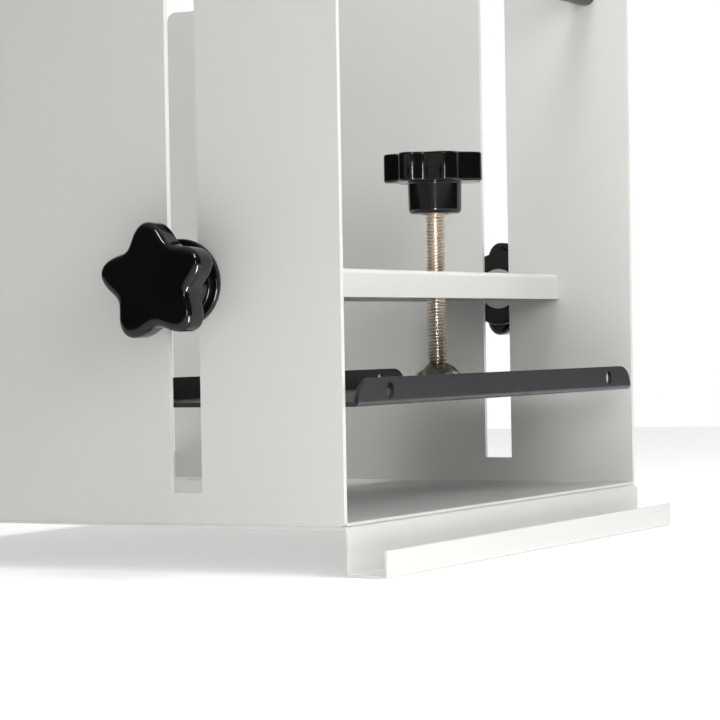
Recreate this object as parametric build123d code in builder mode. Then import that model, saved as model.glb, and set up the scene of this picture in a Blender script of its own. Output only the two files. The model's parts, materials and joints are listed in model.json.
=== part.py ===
"""Bookbinding (padding) press: two slotted side walls on a base with a drip gutter, a crossbar that
clamps in the slots, and two hand screws that push a pressure plate down on a stack of sheets.

Part frame: origin at the bottom centre of the bounding box, +X along the sheets' long edge (the
longest extent), +Y to the rear, +Z up. Units: mm.
"""

import os
from math import cos, pi, sin

from build123d import *

os.makedirs("parts", exist_ok=True)

# Side walls
CLEAR_WIDTH = 301.5
WALL_T = 2.5
WALL_FRONT = -123.95
WALL_REAR = 142.75
WALL_TOP = 272.95
WALL_CORNER_R = 5.0
WALL_TOE_R = 2.0

# Base sheet with its drip gutter, and the bed plate on it
SHEET_T = 1.2
BASE_Z = 19.2
GUTTER_FRONT = -142.75
GUTTER_BACK = -124.25
GUTTER_LIP_Z = 11.2
BEND_R = 1.8
BED_T = 1.3
BED_REAR = 142.2
STOP_H = 14.0

# Slots, and the common axis line of the clamps and press screws
AXIS_Y = -50.7
SLOT_W = 14.5
SLOT_BOTTOM = 33.4
SLIDE_GAP = 0.05

# Crossbar
BAR_HALF_DEPTH = 34.85
BAR_BOTTOM = 113.3
BAR_TOP = 125.7
BAR_T = 2.0
BAR_R = 2.2
BAR_END_GAP = 0.1
BLOCK_LENGTH = 20.0
BLOCK_WIDTH = 40.0
BLOCK_BOTTOM = 113.5
TONGUE_LENGTH = 2.3
TONGUE_BOTTOM = 114.5
TONGUE_TOP = 123.2
BLOCK_SCREW_R = 2.0
BLOCK_SCREW_HEAD_R = 4.0
BLOCK_SCREW_OFFSET = 13.0
BLOCK_SCREW_LENGTH = 8.0

# Press screws, their bushes and hand knobs
SCREW_X = 82.1
SCREW_R = 4.7625
SCREW_GAP = 0.05
BUSH_R = 10.0
BUSH_PILOT_R = 7.0
BUSH_BOTTOM = 114.2
SHOULDER_Z = 82.75
JOURNAL_R = 3.2
JOURNAL_BOTTOM = 71.2
GROOVE_R = 2.7
GROOVE_BOTTOM = 72.2
GROOVE_W = 1.0
CLIP_R = 5.2
CLIP_T = 0.9
SCREW_TOP = 174.9
INSERT_R = 7.0
INSERT_BOTTOM = 155.7
HUB_R = 13.05
HUB_BOTTOM = 155.2
HEAD_BOTTOM = 170.5
HEAD_TOP = 185.2
HEAD_LOBES = 7
HEAD_MEAN_R = 22.7
HEAD_LOBE_DEPTH = 1.9
HEAD_TURN = 15.0

# Pressure plate and its swivel feet
PLATE_LEFT = -149.6
PLATE_RIGHT = 136.4
PLATE_FRONT = -129.25
PLATE_REAR = -3.45
PLATE_BOTTOM = 68.2
PLATE_TOP = 79.6
PLATE_T = 1.9
PLATE_R = 2.0
PLATE_CORNER_X = 12.5
PLATE_HOLES_X = (-121.5, 109.4)
PLATE_HOLE_R = 3.4
PLATE_HOLE_Z = 74.2
FOOT_DOME_R = 12.6
FOOT_FLANGE_R = 14.0
FOOT_FLANGE_T = 1.0
FOOT_TOP = 82.7
FOOT_POCKET_R = 6.6
FOOT_POCKET_H = 3.5
FOOT_SCREW_PITCH_R = 9.8
FOOT_SCREW_R = 1.5
FOOT_SCREW_HEAD_R = 3.0
FOOT_SCREW_LENGTH = 5.5

# Star-knob clamps, along X outside the walls
CLAMP_Z = 119.3
STUD_R = 3.175
STUD_INNER = 131.5
STUD_OUTER = 172.0
CLAMP_HOLE_R = 3.3
WASHER_R = 10.15
WASHER_T = 1.9
WASHER_GAP = 0.05
COLLAR_R = 18.2
COLLAR_T = 3.2
NECK_R = 15.7
NECK_R_STAR = 12.5
NECK_LENGTH = 9.7
STAR_LENGTH = 13.2
STAR_LOBES = 5
STAR_MEAN_R = 21.25
STAR_LOBE_DEPTH = 3.45
STAR_TURNS = {"left": 24.0, "right": 1.5}

# Front tie rod
ROD_R = 5.55
ROD_Y = -102.3
ROD_Z = 264.9
ROD_SCREW_R = 3.0
ROD_SCREW_LENGTH = 16.0
ROD_HEAD_R = 5.55
ROD_HEAD_H = 3.3
ROD_HEX_R = 2.3
ROD_HOLE_R = 3.3

# Rear feet
FOOT_X = 128.0
FOOT_Y = 118.0
FOOT_R_TOP = 12.0
FOOT_R_BOTTOM = 10.0
FOOT_INSERT_R = 4.0
FOOT_INSERT_BOTTOM = 8.0
FOOT_BOLT_R = 2.5
FOOT_BOLT_HEAD_R = 5.0
FOOT_BOLT_BOTTOM = 9.0

HALF_IN = CLEAR_WIDTH / 2
HALF_OUT = HALF_IN + WALL_T
BASE_TOP = BASE_Z + SHEET_T
BED_TOP = BASE_TOP + BED_T
BAR_END = HALF_IN - BAR_END_GAP
WEB_BOTTOM = BAR_TOP - BAR_T
PLATE_WEB_TOP = PLATE_BOTTOM + PLATE_T
SIDES = (("left", -1), ("right", 1))
UP = (Align.CENTER, Align.CENTER, Align.MIN)
DOWN = (Align.CENTER, Align.CENTER, Align.MAX)


def lobed_points(lobes, mean_r, depth, turn=0.0, steps=14):
    """Points of a closed lobed outline: a circle whose radius waves once for each lobe."""
    points = []
    for i in range(lobes * steps):
        angle = 2 * pi * i / (lobes * steps)
        radius = mean_r + depth * cos(lobes * angle)
        turned = angle + turn * pi / 180
        points.append((radius * cos(turned), radius * sin(turned)))
    return points


def outward(side, x):
    """Plane across the X axis at distance x, facing out of the press on the given side."""
    return Plane(origin=(side * x, AXIS_Y, CLAMP_Z), x_dir=(0, side, 0), z_dir=(side, 0, 0))


# Base: one sheet, folded down and forward into the drip gutter
with BuildPart() as base_tray:
    with BuildSketch(Plane.YZ.offset(-HALF_OUT)):
        with BuildLine():
            FilletPolyline(
                (GUTTER_FRONT, GUTTER_LIP_Z),
                (GUTTER_FRONT, 0),
                (GUTTER_BACK, 0),
                (GUTTER_BACK, BASE_Z),
                (WALL_REAR, BASE_Z),
                radius=BEND_R,
            )
            offset(amount=SHEET_T, side=Side.LEFT)
        make_face()
    extrude(amount=2 * HALF_OUT)
    with Locations((-FOOT_X, FOOT_Y, BED_TOP), (FOOT_X, FOOT_Y, BED_TOP)):
        Cone(FOOT_BOLT_R, FOOT_BOLT_HEAD_R, BED_TOP - BASE_Z, align=DOWN, mode=Mode.SUBTRACT)
base_tray.part.label = "base_tray"
export_step(base_tray.part, "parts/base_tray.step")

# Bed plate between the walls, turned up at the rear as a paper stop
with BuildPart() as bed_plate:
    with BuildSketch(Plane.YZ.offset(-HALF_IN)):
        with BuildLine():
            FilletPolyline(
                (WALL_FRONT, BASE_TOP),
                (BED_REAR, BASE_TOP),
                (BED_REAR, BED_TOP + STOP_H),
                radius=BEND_R,
            )
            offset(amount=BED_T, side=Side.LEFT)
        make_face()
    extrude(amount=2 * HALF_IN)
    with Locations((-FOOT_X, FOOT_Y, BED_TOP), (FOOT_X, FOOT_Y, BED_TOP)):
        Cone(FOOT_BOLT_R, FOOT_BOLT_HEAD_R, BED_TOP - BASE_Z, align=DOWN, mode=Mode.SUBTRACT)
bed_plate.part.label = "bed_plate"
export_step(bed_plate.part, "parts/bed_plate.step")

# Side walls: flat plates standing on the base, each with a slot open at the top
for side_name, side in SIDES:
    with BuildPart() as side_wall:
        with BuildSketch(Plane.YZ.offset(HALF_IN if side > 0 else -HALF_OUT)):
            with Locations(((WALL_FRONT + WALL_REAR) / 2, (BASE_TOP + WALL_TOP) / 2)):
                Rectangle(WALL_REAR - WALL_FRONT, WALL_TOP - BASE_TOP)
            fillet(vertices().group_by(Axis.Y)[-1], WALL_CORNER_R)
            fillet(vertices().group_by(Axis.Y)[0].sort_by(Axis.X)[0], WALL_TOE_R)
            with Locations((AXIS_Y, (SLOT_BOTTOM + WALL_TOP) / 2)):
                Rectangle(SLOT_W, WALL_TOP - SLOT_BOTTOM, mode=Mode.SUBTRACT)
            with Locations((ROD_Y, ROD_Z)):
                Circle(ROD_HOLE_R, mode=Mode.SUBTRACT)
        extrude(amount=WALL_T)
    side_wall.part.label = f"{side_name}_side_wall"
    export_step(side_wall.part, f"parts/{side_name}_side_wall.step")

# Front tie rod, tapped at both ends, and the two button-head screws that hold it
with BuildPart() as tie_rod:
    with Locations(Plane(origin=(-HALF_IN, ROD_Y, ROD_Z), z_dir=(1, 0, 0))):
        Cylinder(ROD_R, 2 * HALF_IN, align=UP)
        Cylinder(ROD_SCREW_R, ROD_SCREW_LENGTH, align=UP, mode=Mode.SUBTRACT)
    with Locations(Plane(origin=(HALF_IN, ROD_Y, ROD_Z), z_dir=(-1, 0, 0))):
        Cylinder(ROD_SCREW_R, ROD_SCREW_LENGTH, align=UP, mode=Mode.SUBTRACT)
tie_rod.part.label = "tie_rod"
export_step(tie_rod.part, "parts/tie_rod.step")

with BuildPart() as tie_rod_screws:
    for side_name, side in SIDES:
        with Locations(Plane(origin=(side * HALF_OUT, ROD_Y, ROD_Z), z_dir=(side, 0, 0))):
            Cylinder(ROD_HEAD_R, ROD_HEAD_H, align=UP)
            Cylinder(ROD_SCREW_R, WALL_T + ROD_SCREW_LENGTH - 1, align=DOWN)
    fillet(edges().filter_by(GeomType.CIRCLE).group_by(Axis.X)[0], 1.8)
    fillet(edges().filter_by(GeomType.CIRCLE).group_by(Axis.X)[-1], 1.8)
    for side_name, side in SIDES:
        with BuildSketch(Plane(origin=(side * (HALF_OUT + ROD_HEAD_H), ROD_Y, ROD_Z), z_dir=(side, 0, 0))):
            RegularPolygon(ROD_HEX_R, 6)
        extrude(amount=-2.0, mode=Mode.SUBTRACT)
tie_rod_screws.part.label = "tie_rod_screws"
export_step(tie_rod_screws.part, "parts/tie_rod_screws.step")

# Rear feet: rubber bumpers with moulded-in inserts, held by countersunk bolts through bed and base
with BuildPart() as rubber_feet:
    for foot_x in (-FOOT_X, FOOT_X):
        with Locations((foot_x, FOOT_Y, 0)):
            Cone(FOOT_R_BOTTOM, FOOT_R_TOP, BASE_Z, align=UP)
    fillet(edges().group_by(Axis.Z)[0], 1.2)
    for foot_x in (-FOOT_X, FOOT_X):
        with Locations((foot_x, FOOT_Y, FOOT_INSERT_BOTTOM)):
            Cylinder(FOOT_INSERT_R, BASE_Z - FOOT_INSERT_BOTTOM, align=UP, mode=Mode.SUBTRACT)
rubber_feet.part.label = "rubber_feet"
export_step(rubber_feet.part, "parts/rubber_feet.step")

with BuildPart() as foot_inserts:
    for foot_x in (-FOOT_X, FOOT_X):
        with Locations((foot_x, FOOT_Y, FOOT_INSERT_BOTTOM)):
            Cylinder(FOOT_INSERT_R, BASE_Z - FOOT_INSERT_BOTTOM, align=UP)
            Cylinder(FOOT_BOLT_R, BASE_Z - FOOT_INSERT_BOTTOM, align=UP, mode=Mode.SUBTRACT)
foot_inserts.part.label = "foot_inserts"
export_step(foot_inserts.part, "parts/foot_inserts.step")

with BuildPart() as foot_bolts:
    for foot_x in (-FOOT_X, FOOT_X):
        with Locations((foot_x, FOOT_Y, BED_TOP)):
            Cone(FOOT_BOLT_R, FOOT_BOLT_HEAD_R, BED_TOP - BASE_Z, align=DOWN)
            Cylinder(FOOT_BOLT_R, BED_TOP - FOOT_BOLT_BOTTOM, align=DOWN)
    for foot_x in (-FOOT_X, FOOT_X):
        with BuildSketch(Plane.XY.offset(BED_TOP)):
            with Locations((foot_x, FOOT_Y)):
                RegularPolygon(1.7, 6)
        extrude(amount=-1.8, mode=Mode.SUBTRACT)
foot_bolts.part.label = "foot_bolts"
export_step(foot_bolts.part, "parts/foot_bolts.step")

# Crossbar: inverted channel whose ends run on the walls' inner faces
with BuildPart() as crossbar:
    with BuildSketch(Plane.YZ.offset(-BAR_END)):
        with BuildLine():
            FilletPolyline(
                (AXIS_Y - BAR_HALF_DEPTH, BAR_BOTTOM),
                (AXIS_Y - BAR_HALF_DEPTH, BAR_TOP),
                (AXIS_Y + BAR_HALF_DEPTH, BAR_TOP),
                (AXIS_Y + BAR_HALF_DEPTH, BAR_BOTTOM),
                radius=BAR_R,
            )
            offset(amount=BAR_T, side=Side.RIGHT)
        make_face()
    extrude(amount=2 * BAR_END)
    for side_name, side in SIDES:
        block_x = side * (BAR_END - BLOCK_LENGTH / 2)
        with Locations((side * SCREW_X, AXIS_Y, BAR_TOP)):
            Cylinder(BUSH_PILOT_R, BAR_T, align=DOWN, mode=Mode.SUBTRACT)
        with Locations((block_x, AXIS_Y, BAR_TOP)):
            with GridLocations(0, 2 * BLOCK_SCREW_OFFSET, 1, 2):
                Cone(BLOCK_SCREW_R, BLOCK_SCREW_HEAD_R, BAR_T, align=DOWN, mode=Mode.SUBTRACT)
crossbar.part.label = "crossbar"
export_step(crossbar.part, "parts/crossbar.step")

with BuildPart() as block_screws:
    for side_name, side in SIDES:
        block_x = side * (BAR_END - BLOCK_LENGTH / 2)
        with Locations((block_x, AXIS_Y, BAR_TOP)):
            with GridLocations(0, 2 * BLOCK_SCREW_OFFSET, 1, 2):
                Cone(BLOCK_SCREW_R, BLOCK_SCREW_HEAD_R, BAR_T, align=DOWN)
                Cylinder(BLOCK_SCREW_R, BAR_T + BLOCK_SCREW_LENGTH - 0.5, align=DOWN)
    for side_name, side in SIDES:
        with BuildSketch(Plane.XY.offset(BAR_TOP)):
            with Locations((side * (BAR_END - BLOCK_LENGTH / 2), AXIS_Y)):
                with GridLocations(0, 2 * BLOCK_SCREW_OFFSET, 1, 2):
                    RegularPolygon(1.45, 6)
        extrude(amount=-1.5, mode=Mode.SUBTRACT)
block_screws.part.label = "block_screws"
export_step(block_screws.part, "parts/block_screws.step")

# Slide blocks: in the crossbar's ends, with a tongue in the wall's slot and the clamp stud's thread
for side_name, side in SIDES:
    with BuildPart() as slide_block:
        with Locations((side * (BAR_END - BLOCK_LENGTH / 2), AXIS_Y, BLOCK_BOTTOM)):
            Box(BLOCK_LENGTH, BLOCK_WIDTH, WEB_BOTTOM - BLOCK_BOTTOM, align=UP)
        with Locations((side * (BAR_END + TONGUE_LENGTH / 2), AXIS_Y, TONGUE_BOTTOM)):
            Box(TONGUE_LENGTH, SLOT_W - 2 * SLIDE_GAP, TONGUE_TOP - TONGUE_BOTTOM, align=UP)
        with Locations(outward(side, BAR_END + TONGUE_LENGTH)):
            Cylinder(STUD_R, BLOCK_LENGTH + TONGUE_LENGTH, align=DOWN, mode=Mode.SUBTRACT)
        with Locations((side * (BAR_END - BLOCK_LENGTH / 2), AXIS_Y, WEB_BOTTOM)):
            with GridLocations(0, 2 * BLOCK_SCREW_OFFSET, 1, 2):
                Cylinder(BLOCK_SCREW_R, BLOCK_SCREW_LENGTH, align=DOWN, mode=Mode.SUBTRACT)
    slide_block.part.label = f"{side_name}_slide_block"
    export_step(slide_block.part, f"parts/{side_name}_slide_block.step")

# Threaded bushes: flush with the crossbar's top, hidden inside the channel below it
for side_name, side in SIDES:
    with BuildPart() as screw_bush:
        with Locations((side * SCREW_X, AXIS_Y, BUSH_BOTTOM)):
            Cylinder(BUSH_R, WEB_BOTTOM - BUSH_BOTTOM, align=UP)
            Cylinder(BUSH_PILOT_R, BAR_TOP - BUSH_BOTTOM, align=UP)
            Cylinder(SCREW_R + SCREW_GAP, BAR_TOP - BUSH_BOTTOM, align=UP, mode=Mode.SUBTRACT)
    screw_bush.part.label = f"{side_name}_screw_bush"
    export_step(screw_bush.part, f"parts/{side_name}_screw_bush.step")

# Pressure plate: upturned channel, its flanges rounded at the ends and drilled
with BuildPart() as pressure_plate:
    with BuildSketch(Plane.YZ.offset(PLATE_LEFT)):
        with BuildLine():
            FilletPolyline(
                (PLATE_FRONT, PLATE_TOP),
                (PLATE_FRONT, PLATE_BOTTOM),
                (PLATE_REAR, PLATE_BOTTOM),
                (PLATE_REAR, PLATE_TOP),
                radius=PLATE_R,
            )
            offset(amount=PLATE_T, side=Side.LEFT)
        make_face()
    extrude(amount=PLATE_RIGHT - PLATE_LEFT)
    corner_h = PLATE_TOP - PLATE_WEB_TOP
    for end_x, turn in ((PLATE_LEFT, 1), (PLATE_RIGHT, -1)):
        corner = Plane(origin=(end_x, PLATE_REAR + 1, PLATE_WEB_TOP), x_dir=(1, 0, 0), z_dir=(0, -1, 0))
        with BuildSketch(corner):
            with Locations((turn * PLATE_CORNER_X / 2, corner_h / 2)):
                Rectangle(PLATE_CORNER_X, corner_h)
            with Locations((turn * PLATE_CORNER_X, 0)):
                Ellipse(PLATE_CORNER_X, corner_h, mode=Mode.SUBTRACT)
        extrude(amount=PLATE_REAR - PLATE_FRONT + 2, mode=Mode.SUBTRACT)
    for hole_x in PLATE_HOLES_X:
        with Locations(Plane(origin=(hole_x, PLATE_FRONT, PLATE_HOLE_Z), z_dir=(0, 1, 0))):
            Cylinder(PLATE_HOLE_R, PLATE_REAR - PLATE_FRONT, align=UP, mode=Mode.SUBTRACT)
    for side_name, side in SIDES:
        with Locations((side * SCREW_X, AXIS_Y, PLATE_BOTTOM)):
            with PolarLocations(FOOT_SCREW_PITCH_R, 3):
                Cone(FOOT_SCREW_HEAD_R, FOOT_SCREW_R, FOOT_SCREW_R, align=UP, mode=Mode.SUBTRACT)
                Cylinder(FOOT_SCREW_R, PLATE_T, align=UP, mode=Mode.SUBTRACT)
pressure_plate.part.label = "pressure_plate"
export_step(pressure_plate.part, "parts/pressure_plate.step")

with BuildPart() as swivel_foot_screws:
    for side_name, side in SIDES:
        with Locations((side * SCREW_X, AXIS_Y, PLATE_BOTTOM)):
            with PolarLocations(FOOT_SCREW_PITCH_R, 3):
                Cone(FOOT_SCREW_HEAD_R, FOOT_SCREW_R, FOOT_SCREW_R, align=UP)
                Cylinder(FOOT_SCREW_R, FOOT_SCREW_LENGTH, align=UP)
    for side_name, side in SIDES:
        with BuildSketch(Plane.XY.offset(PLATE_BOTTOM)):
            with Locations((side * SCREW_X, AXIS_Y)):
                with PolarLocations(FOOT_SCREW_PITCH_R, 3):
                    RegularPolygon(1.1, 6)
        extrude(amount=1.2, mode=Mode.SUBTRACT)
swivel_foot_screws.part.label = "swivel_foot_screws"
export_step(swivel_foot_screws.part, "parts/swivel_foot_screws.step")

# Swivel feet: domed sockets screwed to the plate, in which the press screws' ends turn
for side_name, side in SIDES:
    with BuildPart() as swivel_foot:
        with Locations((side * SCREW_X, AXIS_Y, PLATE_WEB_TOP)):
            Cylinder(FOOT_FLANGE_R, FOOT_FLANGE_T, align=UP)
        with Locations((side * SCREW_X, AXIS_Y, PLATE_WEB_TOP + FOOT_FLANGE_T)):
            Sphere(FOOT_DOME_R, arc_size1=0, align=UP)
        with Locations((side * SCREW_X, AXIS_Y, FOOT_TOP)):
            Cylinder(FOOT_DOME_R, FOOT_DOME_R, align=UP, mode=Mode.SUBTRACT)
            Cylinder(JOURNAL_R + SCREW_GAP, FOOT_TOP - PLATE_WEB_TOP, align=DOWN, mode=Mode.SUBTRACT)
        with Locations((side * SCREW_X, AXIS_Y, PLATE_WEB_TOP)):
            Cylinder(FOOT_POCKET_R, FOOT_POCKET_H, align=UP, mode=Mode.SUBTRACT)
            with PolarLocations(FOOT_SCREW_PITCH_R, 3):
                Cylinder(FOOT_SCREW_R, FOOT_SCREW_LENGTH - PLATE_T, align=UP, mode=Mode.SUBTRACT)
    swivel_foot.part.label = f"{side_name}_swivel_foot"
    export_step(swivel_foot.part, f"parts/{side_name}_swivel_foot.step")

# Press screws: plain at the thread's outside size, with a grooved journal below the shoulder
for side_name, side in SIDES:
    with BuildPart() as press_screw:
        with Locations((side * SCREW_X, AXIS_Y, SHOULDER_Z)):
            Cylinder(SCREW_R, SCREW_TOP - SHOULDER_Z, align=UP)
            Cylinder(JOURNAL_R, SHOULDER_Z - JOURNAL_BOTTOM, align=DOWN)
        chamfer(edges().group_by(Axis.Z)[0], 0.5)
        with Locations((side * SCREW_X, AXIS_Y, GROOVE_BOTTOM)):
            Cylinder(SCREW_R, GROOVE_W, align=UP, mode=Mode.SUBTRACT)
            Cylinder(GROOVE_R, GROOVE_W, align=UP)
    press_screw.part.label = f"{side_name}_press_screw"
    export_step(press_screw.part, f"parts/{side_name}_press_screw.step")

# Retaining clips in the journals' grooves, open to one side
for side_name, side in SIDES:
    with BuildPart() as screw_clip:
        with BuildSketch(Plane.XY.offset(GROOVE_BOTTOM)):
            with Locations((side * SCREW_X, AXIS_Y)):
                Circle(CLIP_R)
                Circle(GROOVE_R, mode=Mode.SUBTRACT)
            with Locations((side * SCREW_X, AXIS_Y - CLIP_R / 2)):
                Rectangle(4.0, CLIP_R, mode=Mode.SUBTRACT)
        extrude(amount=CLIP_T)
    screw_clip.part.label = f"{side_name}_screw_clip"
    export_step(screw_clip.part, f"parts/{side_name}_screw_clip.step")

# Hand knobs: a round hub under a lobed head, with a threaded insert moulded in
for side_name, side in SIDES:
    with BuildPart() as screw_knob:
        with BuildSketch(Plane(origin=(side * SCREW_X, AXIS_Y, HEAD_BOTTOM))):
            with BuildLine():
                Spline(*lobed_points(HEAD_LOBES, HEAD_MEAN_R, HEAD_LOBE_DEPTH, HEAD_TURN), periodic=True)
            make_face()
        extrude(amount=HEAD_TOP - HEAD_BOTTOM)
        fillet(edges().group_by(Axis.Z)[-1], 1.0)
        fillet(edges().group_by(Axis.Z)[0], 1.0)
        with Locations((side * SCREW_X, AXIS_Y, HEAD_BOTTOM)):
            Cylinder(HUB_R, HEAD_BOTTOM - HUB_BOTTOM, align=DOWN)
        fillet(edges().group_by(Axis.Z)[0], 2.5)
        with Locations((side * SCREW_X, AXIS_Y, HUB_BOTTOM)):
            Cylinder(INSERT_R, SCREW_TOP - HUB_BOTTOM, align=UP, mode=Mode.SUBTRACT)
    screw_knob.part.label = f"{side_name}_screw_knob"
    export_step(screw_knob.part, f"parts/{side_name}_screw_knob.step")

for side_name, side in SIDES:
    with BuildPart() as knob_insert:
        with Locations((side * SCREW_X, AXIS_Y, INSERT_BOTTOM)):
            Cylinder(INSERT_R, SCREW_TOP - INSERT_BOTTOM, align=UP)
            Cylinder(SCREW_R, SCREW_TOP - INSERT_BOTTOM, align=UP, mode=Mode.SUBTRACT)
    knob_insert.part.label = f"{side_name}_knob_insert"
    export_step(knob_insert.part, f"parts/{side_name}_knob_insert.step")

# Star-knob clamps: collar with a steel washer let into its face, star knob and its stud
WASHER_X = HALF_OUT + WASHER_GAP
COLLAR_X = WASHER_X
NECK_X = COLLAR_X + COLLAR_T
STAR_X = NECK_X + NECK_LENGTH
for side_name, side in SIDES:
    with BuildPart() as clamp_washer:
        with Locations(outward(side, WASHER_X)):
            Cylinder(WASHER_R, WASHER_T, align=UP)
            Cylinder(CLAMP_HOLE_R, WASHER_T, align=UP, mode=Mode.SUBTRACT)
    clamp_washer.part.label = f"{side_name}_clamp_washer"
    export_step(clamp_washer.part, f"parts/{side_name}_clamp_washer.step")

    with BuildPart() as clamp_collar:
        with Locations(outward(side, COLLAR_X)):
            Cylinder(COLLAR_R, COLLAR_T, align=UP)
        fillet(edges(), 0.8)
        with Locations(outward(side, COLLAR_X)):
            Cylinder(CLAMP_HOLE_R, COLLAR_T, align=UP, mode=Mode.SUBTRACT)
            Cylinder(WASHER_R, WASHER_T, align=UP, mode=Mode.SUBTRACT)
    clamp_collar.part.label = f"{side_name}_clamp_collar"
    export_step(clamp_collar.part, f"parts/{side_name}_clamp_collar.step")

    with BuildPart() as star_knob:
        with BuildSketch(outward(side, STAR_X)):
            with BuildLine():
                outline = lobed_points(STAR_LOBES, STAR_MEAN_R, STAR_LOBE_DEPTH, STAR_TURNS[side_name])
                Spline(*outline, periodic=True)
            make_face()
        extrude(amount=STAR_LENGTH)
        fillet(edges().group_by(Axis.X)[0], 2.0)
        fillet(edges().group_by(Axis.X)[-1], 2.0)
        with Locations(outward(side, NECK_X)):
            Cone(NECK_R, NECK_R_STAR, NECK_LENGTH, align=UP)
            Cylinder(STUD_R, STUD_OUTER - NECK_X, align=UP, mode=Mode.SUBTRACT)
    star_knob.part.label = f"{side_name}_star_knob"
    export_step(star_knob.part, f"parts/{side_name}_star_knob.step")

    with BuildPart() as clamp_stud:
        with Locations(outward(side, STUD_INNER)):
            Cylinder(STUD_R, STUD_OUTER - STUD_INNER, align=UP)
        chamfer(edges().filter_by(GeomType.CIRCLE), 0.5)
    clamp_stud.part.label = f"{side_name}_clamp_stud"
    export_step(clamp_stud.part, f"parts/{side_name}_clamp_stud.step")
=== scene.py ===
import json
import math

import bmesh
import bpy
from mathutils import Matrix, Vector


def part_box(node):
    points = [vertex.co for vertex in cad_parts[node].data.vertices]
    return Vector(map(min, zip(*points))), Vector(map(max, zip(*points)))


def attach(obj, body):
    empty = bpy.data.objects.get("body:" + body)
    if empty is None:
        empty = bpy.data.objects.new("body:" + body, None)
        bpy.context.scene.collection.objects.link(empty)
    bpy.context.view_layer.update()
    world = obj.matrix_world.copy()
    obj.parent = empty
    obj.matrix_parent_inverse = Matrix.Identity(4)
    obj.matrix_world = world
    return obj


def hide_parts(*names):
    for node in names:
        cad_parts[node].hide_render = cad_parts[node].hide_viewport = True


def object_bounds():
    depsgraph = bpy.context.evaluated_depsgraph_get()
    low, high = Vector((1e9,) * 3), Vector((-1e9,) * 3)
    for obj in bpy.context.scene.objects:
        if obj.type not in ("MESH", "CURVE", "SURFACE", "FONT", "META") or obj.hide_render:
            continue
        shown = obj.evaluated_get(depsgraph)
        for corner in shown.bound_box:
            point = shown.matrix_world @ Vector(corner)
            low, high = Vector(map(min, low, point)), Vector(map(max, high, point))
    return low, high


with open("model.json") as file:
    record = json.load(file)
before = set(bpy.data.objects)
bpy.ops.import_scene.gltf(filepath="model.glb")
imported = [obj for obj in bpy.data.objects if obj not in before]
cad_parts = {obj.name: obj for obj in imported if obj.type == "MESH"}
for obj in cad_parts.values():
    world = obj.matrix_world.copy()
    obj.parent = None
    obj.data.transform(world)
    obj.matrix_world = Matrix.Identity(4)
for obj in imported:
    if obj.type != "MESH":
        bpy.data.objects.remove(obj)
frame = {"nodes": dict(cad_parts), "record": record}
cad_lo, cad_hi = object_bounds()

MM = 0.001
SIDES = (("left", -1), ("right", 1))
RECORD = frame["record"]
BODY_OF = {node: body for body, nodes in RECORD["behaviour"]["bodies"].items() for node in nodes}
SLOT_OF = {row["node"]: row["material_slot"] for row in RECORD["subparts"]}


# ---------------------------------------------------------------- materials
NOISE_LOW = 0.3
NOISE_HIGH = 0.7


class Shader:
    """A material's node tree, with short calls for the nodes used here."""

    def __init__(self, name):
        self.material = bpy.data.materials.new(name)
        self.material.use_nodes = True
        self.tree = self.material.node_tree
        self.bsdf = self.tree.nodes["Principled BSDF"]
        self.coords = self.tree.nodes.new("ShaderNodeTexCoord").outputs["Object"]

    def set(self, **values):
        """Sets the shader's own sockets."""
        for key, value in values.items():
            self.bsdf.inputs[key.replace("_", " ")].default_value = value

    def noise(self, scale, detail=3.0, roughness=0.5, stretch=(1, 1, 1)):
        """Noise in the object's own coordinates, with its scale along each axis times stretch."""
        mapping = self.tree.nodes.new("ShaderNodeMapping")
        mapping.inputs["Scale"].default_value = stretch
        self.tree.links.new(self.coords, mapping.inputs["Vector"])
        made = self.tree.nodes.new("ShaderNodeTexNoise")
        made.inputs["Scale"].default_value = scale
        made.inputs["Detail"].default_value = detail
        made.inputs["Roughness"].default_value = roughness
        self.tree.links.new(mapping.outputs["Vector"], made.inputs["Vector"])
        return made.outputs["Fac"]

    def tint(self, source, dark, light):
        """Colour that runs from dark to light over the middle of a noise's range."""
        made = self.tree.nodes.new("ShaderNodeValToRGB")
        stops = ((NOISE_LOW, dark), (NOISE_HIGH, light))
        for element, (position, colour) in zip(made.color_ramp.elements, stops):
            element.position = position
            element.color = (*colour, 1.0)
        self.tree.links.new(source, made.inputs["Fac"])
        self.tree.links.new(made.outputs["Color"], self.bsdf.inputs["Base Color"])

    def roughness(self, source, low, high):
        """Roughness that runs from low to high over the middle of a noise's range."""
        made = self.tree.nodes.new("ShaderNodeMapRange")
        made.inputs["From Min"].default_value = NOISE_LOW
        made.inputs["From Max"].default_value = NOISE_HIGH
        made.inputs["To Min"].default_value = low
        made.inputs["To Max"].default_value = high
        self.tree.links.new(source, made.inputs["Value"])
        self.tree.links.new(made.outputs["Result"], self.bsdf.inputs["Roughness"])

    def bumps(self, *layers):
        """Stacked bump layers, each (height, strength, distance in metres)."""
        normal = None
        for height, strength, distance in layers:
            made = self.tree.nodes.new("ShaderNodeBump")
            made.inputs["Strength"].default_value = strength
            made.inputs["Distance"].default_value = distance
            self.tree.links.new(height, made.inputs["Height"])
            if normal is not None:
                self.tree.links.new(normal, made.inputs["Normal"])
            normal = made.outputs["Normal"]
        self.tree.links.new(normal, self.bsdf.inputs["Normal"])


def scaled(colour, factor):
    """The colour made lighter or darker by a factor."""
    return tuple(min(1.0, c * factor) for c in colour)


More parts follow.
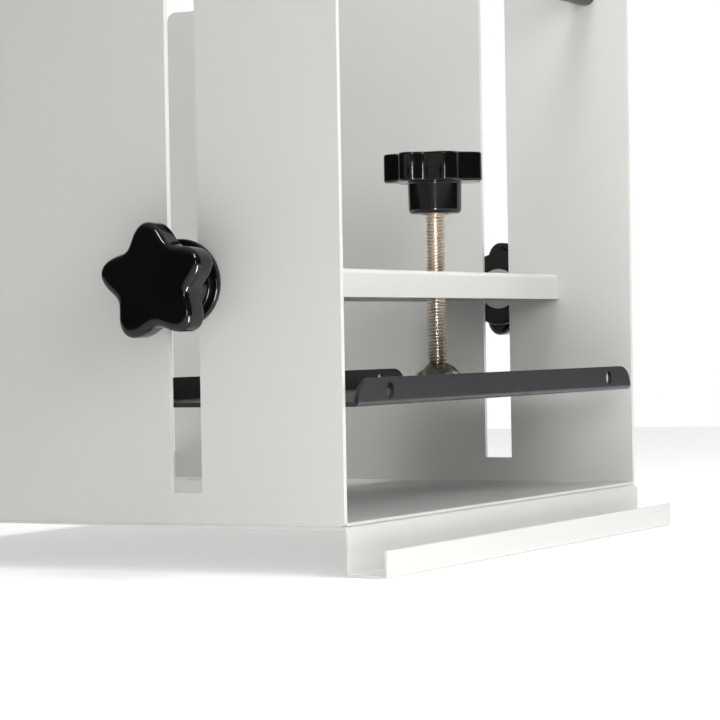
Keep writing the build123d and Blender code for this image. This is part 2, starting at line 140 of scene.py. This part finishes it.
def powder_coat(name, colour, spread, rough_low, rough_high, peel, specular):
    """Powder coat: faint mottling, fine orange peel and slightly uneven gloss."""
    s = Shader(name)
    s.set(Specular_IOR_Level=specular)
    s.tint(s.noise(9.0, 4.0, 0.6), scaled(colour, 1 - spread), scaled(colour, 1 + spread))
    s.roughness(s.noise(60.0), rough_low, rough_high)
    s.bumps((s.noise(1000.0, 2.0), peel, 0.00003), (s.noise(240.0, 2.0), peel * 0.6, 0.00008))
    return s.material


def moulded_plastic(name, colour, rough_low, rough_high):
    """Polished black phenolic: faint moulding waviness and an uneven polish."""
    s = Shader(name)
    s.set(Specular_IOR_Level=0.38)
    s.tint(s.noise(30.0), scaled(colour, 0.75), scaled(colour, 1.3))
    s.roughness(s.noise(150.0, 4.0, 0.6), rough_low, rough_high)
    s.bumps((s.noise(1500.0, 2.0), 0.04, 0.00002), (s.noise(80.0, 1.0), 0.10, 0.00006))
    return s.material


def bright_metal(name, dark, light, rough_low, rough_high, grain, scratch):
    """Plated or machined metal: tint variation and a grain drawn out along the given axes."""
    s = Shader(name)
    s.set(Metallic=1.0)
    s.tint(s.noise(60.0, 4.0, 0.6), dark, light)
    streaks = s.noise(400.0, 3.0, 0.6, grain)
    s.roughness(streaks, rough_low, rough_high)
    s.bumps((streaks, scratch, 0.00003))
    return s.material


def soft_rubber(name, colour):
    """Matt moulded rubber with a coarse, uneven skin."""
    s = Shader(name)
    s.set(Specular_IOR_Level=0.35)
    s.tint(s.noise(40.0, 4.0), scaled(colour, 0.7), scaled(colour, 1.5))
    s.roughness(s.noise(200.0), 0.6, 0.8)
    s.bumps((s.noise(700.0), 0.4, 0.0001))
    return s.material


NO_GRAIN = (1, 1, 1)
GRAIN_X = (12, 1, 1)
GRAIN_Y = (1, 14, 1)
GRAIN_Z = (1, 1, 12)

# name: colour, spread, least and most roughness, orange peel, specular level
POWDER_COATS = {
    "frame_paint": ((0.66, 0.66, 0.635), 0.012, 0.36, 0.46, 0.22, 0.5),
    "plate_paint": ((0.017, 0.017, 0.019), 0.10, 0.30, 0.42, 0.35, 0.45),
    "black_paint": ((0.012, 0.012, 0.013), 0.10, 0.20, 0.30, 0.20, 0.5),
}
# name: dark tint, light tint, least and most roughness, grain, depth of scratches
METALS = {
    "thread_nickel": ((0.74, 0.64, 0.53), (0.92, 0.84, 0.74), 0.28, 0.36, NO_GRAIN, 0.05),
    "foot_chrome": ((0.52, 0.47, 0.40), (0.66, 0.61, 0.54), 0.12, 0.22, NO_GRAIN, 0.10),
    "washer_steel": ((0.55, 0.55, 0.54), (0.68, 0.68, 0.66), 0.35, 0.50, GRAIN_X, 0.2),
    "screw_steel": ((0.48, 0.48, 0.48), (0.62, 0.62, 0.61), 0.24, 0.38, NO_GRAIN, 0.15),
    "block_steel": ((0.36, 0.36, 0.37), (0.50, 0.50, 0.50), 0.30, 0.45, GRAIN_Y, 0.25),
    "insert_brass": ((0.60, 0.42, 0.17), (0.78, 0.58, 0.29), 0.20, 0.34, GRAIN_Z, 0.2),
}
MATERIALS = {name: powder_coat(name, *settings) for name, settings in POWDER_COATS.items()}
MATERIALS.update({name: bright_metal(name, *settings) for name, settings in METALS.items()})
MATERIALS["knob_plastic"] = moulded_plastic("knob_plastic", (0.0035, 0.0035, 0.0038), 0.08, 0.14)
MATERIALS["foot_rubber"] = soft_rubber("foot_rubber", (0.018, 0.018, 0.018))

for node, cad_object in frame["nodes"].items():
    for material_slot in cad_object.material_slots:
        material_slot.material = MATERIALS[SLOT_OF[node]]


# ---------------------------------------------------------------- mesh helpers
SMOOTH_BELOW = math.radians(35)
BEVEL_ABOVE = math.radians(40)
FLAT_WITHIN = math.radians(0.3)


def piece_for(node, mesh):
    """Shows mesh in place of a CAD node, with that node's body, finish and material."""
    for polygon in mesh.polygons:
        polygon.use_smooth = True
    mesh.set_sharp_from_angle(angle=SMOOTH_BELOW)
    mesh.materials.clear()
    mesh.materials.append(MATERIALS[SLOT_OF[node]])
    piece = bpy.data.objects.new(f"{node}_shape", mesh)
    bpy.context.scene.collection.objects.link(piece)
    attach(piece, BODY_OF[node])
    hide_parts(node)
    return piece


def edged(node, width):
    """The CAD node's shape with its split vertices merged and its sharp edges rounded over."""
    mesh = frame["nodes"][node].data.copy()
    bm = bmesh.new()
    bm.from_mesh(mesh)
    bmesh.ops.remove_doubles(bm, verts=bm.verts, dist=2e-6)
    bmesh.ops.dissolve_limit(bm, angle_limit=FLAT_WITHIN, verts=bm.verts, edges=bm.edges)
    sharp = [e for e in bm.edges if len(e.link_faces) == 2 and e.calc_face_angle(0) > BEVEL_ABOVE]
    bmesh.ops.bevel(bm, geom=sharp, offset=width, offset_type="OFFSET", segments=2,
                    profile=0.5, affect="EDGES", clamp_overlap=True)
    bmesh.ops.recalc_face_normals(bm, faces=bm.faces)
    bm.to_mesh(mesh)
    bm.free()
    piece = piece_for(node, mesh)
    weighted = piece.modifiers.new("weighted_normals", "WEIGHTED_NORMAL")
    weighted.keep_sharp = True
    return piece


def skinned(name, rings):
    """A mesh through rings of points, each of the same count or a single point at a tip."""
    verts = []
    starts = []
    faces = []
    for ring in rings:
        starts.append(len(verts))
        verts.extend(ring)
    for a in range(len(rings) - 1):
        low, high = len(rings[a]), len(rings[a + 1])
        for i in range(max(low, high)):
            corners = [starts[a] + i % low, starts[a] + (i + 1) % low]
            corners += [starts[a + 1] + (i + 1) % high, starts[a + 1] + i % high]
            faces.append(tuple(dict.fromkeys(corners)))
    mesh = bpy.data.meshes.new(name)
    mesh.from_pydata(verts, [], faces)
    merge(mesh)
    return mesh


def merge(mesh):
    """Joins doubled vertices, drops faces of no area and turns all faces outward."""
    bm = bmesh.new()
    bm.from_mesh(mesh)
    bmesh.ops.remove_doubles(bm, verts=bm.verts, dist=1e-6)
    bmesh.ops.dissolve_degenerate(bm, dist=1e-7, edges=bm.edges)
    bmesh.ops.recalc_face_normals(bm, faces=bm.faces)
    bm.to_mesh(mesh)
    bm.free()


def standing(x, y):
    """Place of a turned piece on a vertical axis, from millimetres to the frame's metres."""
    return Matrix.Translation((x, y, 0)) @ Matrix.Scale(MM, 4)


def facing_out(side, y, z):
    """Place of a turned piece on an axis along X, with its own Z outward on the given side."""
    axes = Matrix(((0, 0, side, 0), (side, 0, 0, y), (0, 1, 0, z), (0, 0, 0, 1)))
    return axes @ Matrix.Scale(MM, 4)


LOBED_SIDES = 280


def circle(place, radius, along, count=LOBED_SIDES):
    """Ring of a circle at a distance along the place's own axis. A radius of 0 gives a tip."""
    if radius == 0:
        return [place @ Vector((0, 0, along))]
    angles = [2 * math.pi * i / count for i in range(count)]
    return [place @ Vector((radius * math.cos(a), radius * math.sin(a), along)) for a in angles]


def lobed(place, shape, inset, along, share=1.0):
    """Ring of a lobed outline, moved in by inset along its own normal and then scaled by share."""
    lobes, mean, depth, turn = shape
    ring = []
    for i in range(LOBED_SIDES):
        a = 2 * math.pi * i / LOBED_SIDES
        radius = mean + depth * math.cos(lobes * a)
        slope = -lobes * depth * math.sin(lobes * a)
        cos, sin = math.cos(a), math.sin(a)
        out = Vector((radius * cos + slope * sin, radius * sin - slope * cos))
        point = Vector((radius * cos, radius * sin)) - inset * out.normalized()
        turned = Matrix.Rotation(math.radians(turn), 2) @ point * share
        ring.append(place @ Vector((turned.x, turned.y, along)))
    return ring


def arc(centre_r, centre_z, radius, start, end, steps):
    """Profile points (radius, along) on an arc, from start to end in degrees."""
    angles = [math.radians(start + (end - start) * i / steps) for i in range(steps + 1)]
    return [(centre_r + radius * math.cos(a), centre_z + radius * math.sin(a)) for a in angles]


def box_mm(node):
    """A node's lowest and highest corners in millimetres."""
    low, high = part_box(node)
    return low / MM, high / MM


# ---------------------------------------------------------------- sheet metal
SHEET_EDGE = 0.00035
for node in ("base_tray", "bed_plate", "left_side_wall", "right_side_wall", "crossbar", "pressure_plate"):
    edged(node, SHEET_EDGE)


# ---------------------------------------------------------------- press screws with their real thread
PITCH = 1.5875
CREST_R = 4.74
ROOT_R = 3.82
JOURNAL_R = 3.2
JOURNAL_CHAMFER = 0.5
CLIP_GROOVE_R = 2.7
CLIP_GROOVE_TOP = 73.2
CLIP_GROOVE_BOTTOM = 72.2
SHOULDER_Z = 82.75
# One turn's thread form: (share of the pitch, share of the depth), from crest round to crest
THREAD_FORM = ((0.0, 1.0), (0.05, 0.985), (0.09, 0.90), (0.33, 0.10), (0.38, 0.015), (0.50, 0.0),
               (0.62, 0.015), (0.67, 0.10), (0.91, 0.90), (0.95, 0.985))
THREAD_SIDES = 40


def thread_faces(rows, sides):
    """Quads of a grid whose last column joins the first one a pitch further up."""
    step = len(THREAD_FORM)
    faces = []
    for k in range(rows - step - 1):
        for i in range(sides):
            near, far = k * sides + i, k * sides + i + 1
            if i == sides - 1:
                far = (k + step) * sides
            faces.append((near, far, far + sides, near + sides))
    return faces


def press_screw(side_name):
    """Screw with a true helical thread that runs out at both ends, above its plain journal."""
    node = f"{side_name}_press_screw"
    low, high = box_mm(node)
    place = standing(KNOB_X[side_name], SCREW_Y)
    rows = []
    first = SHOULDER_Z - 2 * PITCH
    for turn in range(int((high.z - first) / PITCH) + 3):
        for share, depth in THREAD_FORM:
            rows.append((first + (turn + share) * PITCH, depth))
    points = []
    for along, depth in rows:
        for i in range(THREAD_SIDES):
            angle = 2 * math.pi * i / THREAD_SIDES
            z = min(max(along + PITCH * i / THREAD_SIDES, SHOULDER_Z), high.z)
            room = min(z - SHOULDER_Z, high.z - z)
            r = min(ROOT_R + (CREST_R - ROOT_R) * depth, ROOT_R + room)
            points.append(place @ Vector((r * math.cos(angle), r * math.sin(angle), z)))
    mesh = bpy.data.meshes.new(node)
    mesh.from_pydata(points, [], thread_faces(len(rows), THREAD_SIDES))
    bm = bmesh.new()
    bm.from_mesh(mesh)
    bmesh.ops.remove_doubles(bm, verts=bm.verts, dist=1e-7)
    journal = [(ROOT_R, SHOULDER_Z), (JOURNAL_R, SHOULDER_Z), (JOURNAL_R, CLIP_GROOVE_TOP)]
    journal += [(CLIP_GROOVE_R, CLIP_GROOVE_TOP), (CLIP_GROOVE_R, CLIP_GROOVE_BOTTOM)]
    journal += [(JOURNAL_R, CLIP_GROOVE_BOTTOM), (JOURNAL_R, low.z + JOURNAL_CHAMFER)]
    journal += [(JOURNAL_R - JOURNAL_CHAMFER, low.z), (0, low.z)]
    for profile in (journal, [(ROOT_R, high.z), (0, high.z)]):
        end = skinned(node, [circle(place, r, z, THREAD_SIDES) for r, z in profile])
        bm.from_mesh(end)
    bmesh.ops.remove_doubles(bm, verts=bm.verts, dist=1e-6)
    bmesh.ops.dissolve_degenerate(bm, dist=1e-7, edges=bm.edges)
    bmesh.ops.recalc_face_normals(bm, faces=bm.faces)
    bm.to_mesh(mesh)
    bm.free()
    return piece_for(node, mesh)


# ---------------------------------------------------------------- hand knobs on the press screws
# Lobed outlines: number of lobes, mean radius, depth of a lobe, turn in degrees
HEAD_SHAPE = (7, 22.7, 1.9, 15.0)
HEAD_EDGE_R = 1.1
HEAD_CROWN = 0.8
HEAD_HEIGHT = 14.7
HUB_R = 13.05
HUB_DRAFT = 0.25
HUB_EDGE_R = 2.2
HUB_ROOT_R = 0.8
KNOB_BORE_R = 7.0
BORE_CHAMFER = 0.3
EDGE_STEPS = 6
CROWN_SHARES = (0.97, 0.9, 0.8, 0.65, 0.5, 0.35, 0.2, 0.08)


def rounded_edges(place, shape, radius, bottom, top, steps):
    """Rings of a lobed disc from bottom to top with both of its rims rounded."""
    rings = []
    for step in range(steps + 1):
        a = math.radians(-90 + 90 * step / steps)
        rings.append(lobed(place, shape, radius * (1 - math.cos(a)), bottom + radius * (1 + math.sin(a))))
    for step in range(steps + 1):
        a = math.radians(90 * step / steps)
        rings.append(lobed(place, shape, radius * (1 - math.cos(a)), top - radius * (1 - math.sin(a))))
    return rings


def screw_knob(side_name):
    """Fluted hand knob with a crowned head on a round hub."""
    node = f"{side_name}_screw_knob"
    low, high = box_mm(node)
    place = standing(KNOB_X[side_name], SCREW_Y)
    bore_top = box_mm(f"{side_name}_press_screw")[1].z
    under = high.z - HEAD_HEIGHT
    hub_low = HUB_R - HUB_DRAFT
    mouth = low.z + BORE_CHAMFER
    profile = [(0, bore_top), (KNOB_BORE_R, bore_top), (KNOB_BORE_R, mouth)]
    profile.append((KNOB_BORE_R + BORE_CHAMFER, low.z))
    profile += arc(hub_low - HUB_EDGE_R, low.z + HUB_EDGE_R, HUB_EDGE_R, -90, 0, 6)
    profile += arc(HUB_R + HUB_ROOT_R, under - HUB_ROOT_R, HUB_ROOT_R, 180, 90, 4)
    rings = [circle(place, r, z) for r, z in profile]
    rings += rounded_edges(place, HEAD_SHAPE, HEAD_EDGE_R, under, high.z - HEAD_CROWN, EDGE_STEPS)
    for share in CROWN_SHARES:
        rings.append(lobed(place, HEAD_SHAPE, HEAD_EDGE_R, high.z - HEAD_CROWN * share ** 2, share))
    rings.append(circle(place, 0, high.z))
    return piece_for(node, skinned(node, rings))


# ---------------------------------------------------------------- star-knob clamps
STAR_TURNS = {"left": 24.0, "right": 1.5}
STAR_EDGE_R = 3.0
STAR_DOME = 0.12
STAR_THICKNESS = 13.2
STAR_LOBES = 5
STAR_MEAN_R = 21.25
STAR_LOBE_DEPTH = 3.45
STAR_EDGE_STEPS = 8
STAR_SHARES = (0.95, 0.87, 0.76, 0.63, 0.5, 0.36, 0.22, 0.09)
NECK_FLANGE_R = 15.7
NECK_FLANGE_T = 2.0
NECK_FLANGE_EDGE = 0.7
NECK_R = 12.2
NECK_STEPS = 8
# The neck widens towards the flange by one curve, and towards the star by another
NECK_FOOT_FLARE = 2.3
NECK_FOOT_POWER = 2.4
NECK_HEAD_FLARE = 1.6
NECK_HEAD_START = 0.6
STUD_R = 3.175


def neck_widening(t):
    """How much wider than its waist the neck is, from its flange (0) to the star (1)."""
    head = max(0.0, t - NECK_HEAD_START) / (1 - NECK_HEAD_START)
    return NECK_FOOT_FLARE * (1 - t) ** NECK_FOOT_POWER + NECK_HEAD_FLARE * head ** 2


def star_knob(side_name, side):
    """Five-lobed knob with a faintly domed face, on a flared neck with a flange."""
    node = f"{side_name}_star_knob"
    low, high = box_mm(node)
    place = facing_out(side, SCREW_Y, CLAMP_Z)
    near, far = sorted((abs(low.x), abs(high.x)))
    back = far - STAR_THICKNESS
    bore_end = max(abs(c.x) for c in box_mm(f"{side_name}_clamp_stud"))
    rim_r = NECK_FLANGE_R - NECK_FLANGE_EDGE
    flange_end = near + NECK_FLANGE_T
    profile = [(0, bore_end), (STUD_R, bore_end), (STUD_R, near)]
    profile += arc(rim_r, near + NECK_FLANGE_EDGE, NECK_FLANGE_EDGE, -90, 0, 4)
    profile += arc(rim_r, flange_end - NECK_FLANGE_EDGE, NECK_FLANGE_EDGE, 0, 80, 4)
    for step in range(NECK_STEPS + 1):
        t = step / NECK_STEPS
        profile.append((NECK_R + neck_widening(t), flange_end + (back - flange_end) * t))
    rings = [circle(place, r, z) for r, z in profile]
    shape = (STAR_LOBES, STAR_MEAN_R, STAR_LOBE_DEPTH, STAR_TURNS[side_name])
    rings += rounded_edges(place, shape, STAR_EDGE_R, back, far - STAR_DOME, STAR_EDGE_STEPS)
    for share in STAR_SHARES:
        rings.append(lobed(place, shape, STAR_EDGE_R, far - STAR_DOME * share ** 2, share))
    rings.append(circle(place, 0, far))
    return piece_for(node, skinned(node, rings))


COLLAR_SIDES = 160
COLLAR_HOLE_GAP = 0.13
COLLAR_SEAT_CHAMFER = 0.3
COLLAR_INNER_EDGE = 0.6
COLLAR_OUTER_EDGE = 0.9


def clamp_collar(side_name, side):
    """Round collar with a rounded rim and a seat for the washer."""
    node = f"{side_name}_clamp_collar"
    low, high = box_mm(node)
    place = facing_out(side, SCREW_Y, CLAMP_Z)
    near, far = sorted((abs(low.x), abs(high.x)))
    washer = box_mm(f"{side_name}_clamp_washer")
    seat = max(abs(washer[0].x), abs(washer[1].x))
    seat_r = (washer[1].y - washer[0].y) / 2
    rim = (high.y - low.y) / 2
    hole = STUD_R + COLLAR_HOLE_GAP
    profile = [(hole, seat), (seat_r, seat), (seat_r, near + COLLAR_SEAT_CHAMFER)]
    profile.append((seat_r + COLLAR_SEAT_CHAMFER, near))
    profile += arc(rim - COLLAR_INNER_EDGE, near + COLLAR_INNER_EDGE, COLLAR_INNER_EDGE, -90, 0, 4)
    profile += arc(rim - COLLAR_OUTER_EDGE, far - COLLAR_OUTER_EDGE, COLLAR_OUTER_EDGE, 0, 90, 5)
    profile += [(hole, far), (hole, seat)]
    rings = [circle(place, r, z, COLLAR_SIDES) for r, z in profile]
    return piece_for(node, skinned(node, rings))


def middle(node):
    """Centre of a node's box, in metres."""
    low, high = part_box(node)
    return (low + high) / 2


KNOB_X = {name: middle(f"{name}_press_screw").x for name, side in SIDES}
SCREW_Y = middle("right_press_screw").y
CLAMP_Z = middle("left_clamp_stud").z
SMALL_EDGE = 0.0002

for name, side in SIDES:
    press_screw(name)
    screw_knob(name)
    star_knob(name, side)
    clamp_collar(name, side)
SMALL_NODES = ["tie_rod_screws"]
SMALL_NODES += [f"{name}_{part}" for part in ("swivel_foot", "clamp_washer") for name, side in SIDES]
for node in SMALL_NODES:
    edged(node, SMALL_EDGE)


# ---------------------------------------------------------------- floor, light and camera
def area_light(name, aim, direction, distance, size, power):
    """Rectangular lamp at a distance from the aim point and facing it. The camera doesn't see it."""
    data = bpy.data.lights.new(name, "AREA")
    data.shape = "RECTANGLE"
    data.size, data.size_y = size
    data.energy = power
    lamp = bpy.data.objects.new(name, data)
    bpy.context.scene.collection.objects.link(lamp)
    towards = Vector(direction).normalized()
    lamp.location = aim + towards * distance
    lamp.rotation_mode = "QUATERNION"
    lamp.rotation_quaternion = towards.to_track_quat("Z", "Y")
    lamp.visible_camera = False
    return lamp


def soft_light(*settings):
    """Softbox that lights matt surfaces and leaves no window in glossy ones."""
    area_light(*settings).visible_glossy = False


def reflected_light(*settings):
    """Bright strip that only glossy surfaces show."""
    area_light(*settings).visible_diffuse = False


CENTRE = (cad_lo + cad_hi) / 2
KNOB = middle("right_screw_knob")
TO_CAMERA = (-0.883, -0.469)
FAR_WALL = Vector((0.15, -0.05, 0.10))
soft_light("key", KNOB, (-0.600, -0.750, 0.280), 0.7, (0.35, 0.35), 2.0)
soft_light("inner", FAR_WALL, (-0.25, -0.15, 1.0), 0.8, (0.22, 0.5), 4.0)
soft_light("right", CENTRE, (1.0, -0.6, 0.3), 3.0, (1.2, 1.2), 40.0)
soft_light("fill", CENTRE, (*TO_CAMERA, 0.02), 1.2, (0.5, 0.3), 0.6)
reflected_light("high_strip", KNOB, (*TO_CAMERA, 0.75), 2.0, (0.14, 0.9), 22.0)
reflected_light("level_strip", KNOB, (*TO_CAMERA, 0.0), 2.0, (0.06, 0.35), 3.4)
reflected_light("low_strip", KNOB, (*TO_CAMERA, -0.42), 0.38, (0.03, 0.12), 0.8)


FLOOR_REACH = 1.5
FLOOR_SIDES = 48
FLOOR_COLOUR = (0.85, 0.85, 0.85)
FLOOR_GLOW = 0.30


def floor():
    """Round pale floor under the object. It glows a little, so that shadows on it stay faint."""
    mesh = bpy.data.meshes.new("floor")
    angles = [2 * math.pi * i / FLOOR_SIDES for i in range(FLOOR_SIDES)]
    corners = [(FLOOR_REACH * math.cos(a), FLOOR_REACH * math.sin(a), 0) for a in angles]
    mesh.from_pydata(corners, [], [tuple(range(FLOOR_SIDES))])
    material = bpy.data.materials.new("floor")
    material.use_nodes = True
    bsdf = material.node_tree.nodes["Principled BSDF"]
    bsdf.inputs["Base Color"].default_value = (*FLOOR_COLOUR, 1)
    bsdf.inputs["Roughness"].default_value = 0.9
    bsdf.inputs["Specular IOR Level"].default_value = 0.1
    bsdf.inputs["Emission Color"].default_value = (1.0, 1.0, 1.0, 1)
    bsdf.inputs["Emission Strength"].default_value = FLOOR_GLOW
    mesh.materials.append(material)
    ground = bpy.data.objects.new("floor", mesh)
    bpy.context.scene.collection.objects.link(ground)


floor()

# What glossy surfaces mirror: (share of the way up from straight down, brightness)
MIRRORED_LEVELS = ((0.0, 0.05), (0.48, 0.02), (0.52, 0.02), (0.62, 0.03), (0.80, 0.12), (1.0, 0.50))
AMBIENT = 0.40


def studio():
    """White backdrop for the camera, even light for matt surfaces and a dark room for glossy ones."""
    world = bpy.data.worlds.new("studio")
    bpy.context.scene.world = world
    world.use_nodes = True
    tree = world.node_tree
    tree.nodes.clear()

    def background(strength):
        made = tree.nodes.new("ShaderNodeBackground")
        made.inputs["Color"].default_value = (1, 1, 1, 1)
        made.inputs["Strength"].default_value = strength
        return made

    def chosen(factor, first, second):
        made = tree.nodes.new("ShaderNodeMixShader")
        tree.links.new(factor, made.inputs["Fac"])
        tree.links.new(first.outputs[0], made.inputs[1])
        tree.links.new(second.outputs[0], made.inputs[2])
        return made

    split = tree.nodes.new("ShaderNodeSeparateXYZ")
    tree.links.new(tree.nodes.new("ShaderNodeTexCoord").outputs["Generated"], split.inputs["Vector"])
    lift = tree.nodes.new("ShaderNodeMapRange")
    lift.inputs["From Min"].default_value = -1.0
    tree.links.new(split.outputs["Z"], lift.inputs["Value"])
    heights = tree.nodes.new("ShaderNodeValToRGB")
    while len(heights.color_ramp.elements) < len(MIRRORED_LEVELS):
        heights.color_ramp.elements.new(0.5)
    for element, (position, level) in zip(heights.color_ramp.elements, MIRRORED_LEVELS):
        element.position = position
        element.color = (level, level, level, 1)
    tree.links.new(lift.outputs["Result"], heights.inputs["Fac"])
    mirrored = background(1.0)
    tree.links.new(heights.outputs["Color"], mirrored.inputs["Color"])

    path = tree.nodes.new("ShaderNodeLightPath")
    lit = chosen(path.outputs["Is Glossy Ray"], background(AMBIENT), mirrored)
    seen = chosen(path.outputs["Is Camera Ray"], lit, background(1.0))
    out = tree.nodes.new("ShaderNodeOutputWorld")
    tree.links.new(seen.outputs[0], out.inputs["Surface"])


studio()

CAMERA_AT = Vector((-1.11395, -0.63890, 0.09660))
CAMERA_YAW = math.radians(-62.19)
CAMERA_PITCH = math.radians(-0.51)
CAMERA_ROLL = math.radians(-0.976)
camera_data = bpy.data.cameras.new("camera")
camera_data.lens = 136.8
camera_data.sensor_width = 36.0
camera_data.clip_start = 0.05
camera_data.clip_end = 60.0
camera = bpy.data.objects.new("camera", camera_data)
bpy.context.scene.collection.objects.link(camera)
heading = Matrix.Rotation(CAMERA_YAW, 4, "Z") @ Matrix.Rotation(math.radians(90) + CAMERA_PITCH, 4, "X")
camera.matrix_world = Matrix.Translation(CAMERA_AT) @ heading @ Matrix.Rotation(CAMERA_ROLL, 4, "Z")
bpy.context.scene.camera = camera
bpy.context.scene.view_settings.view_transform = "Standard"
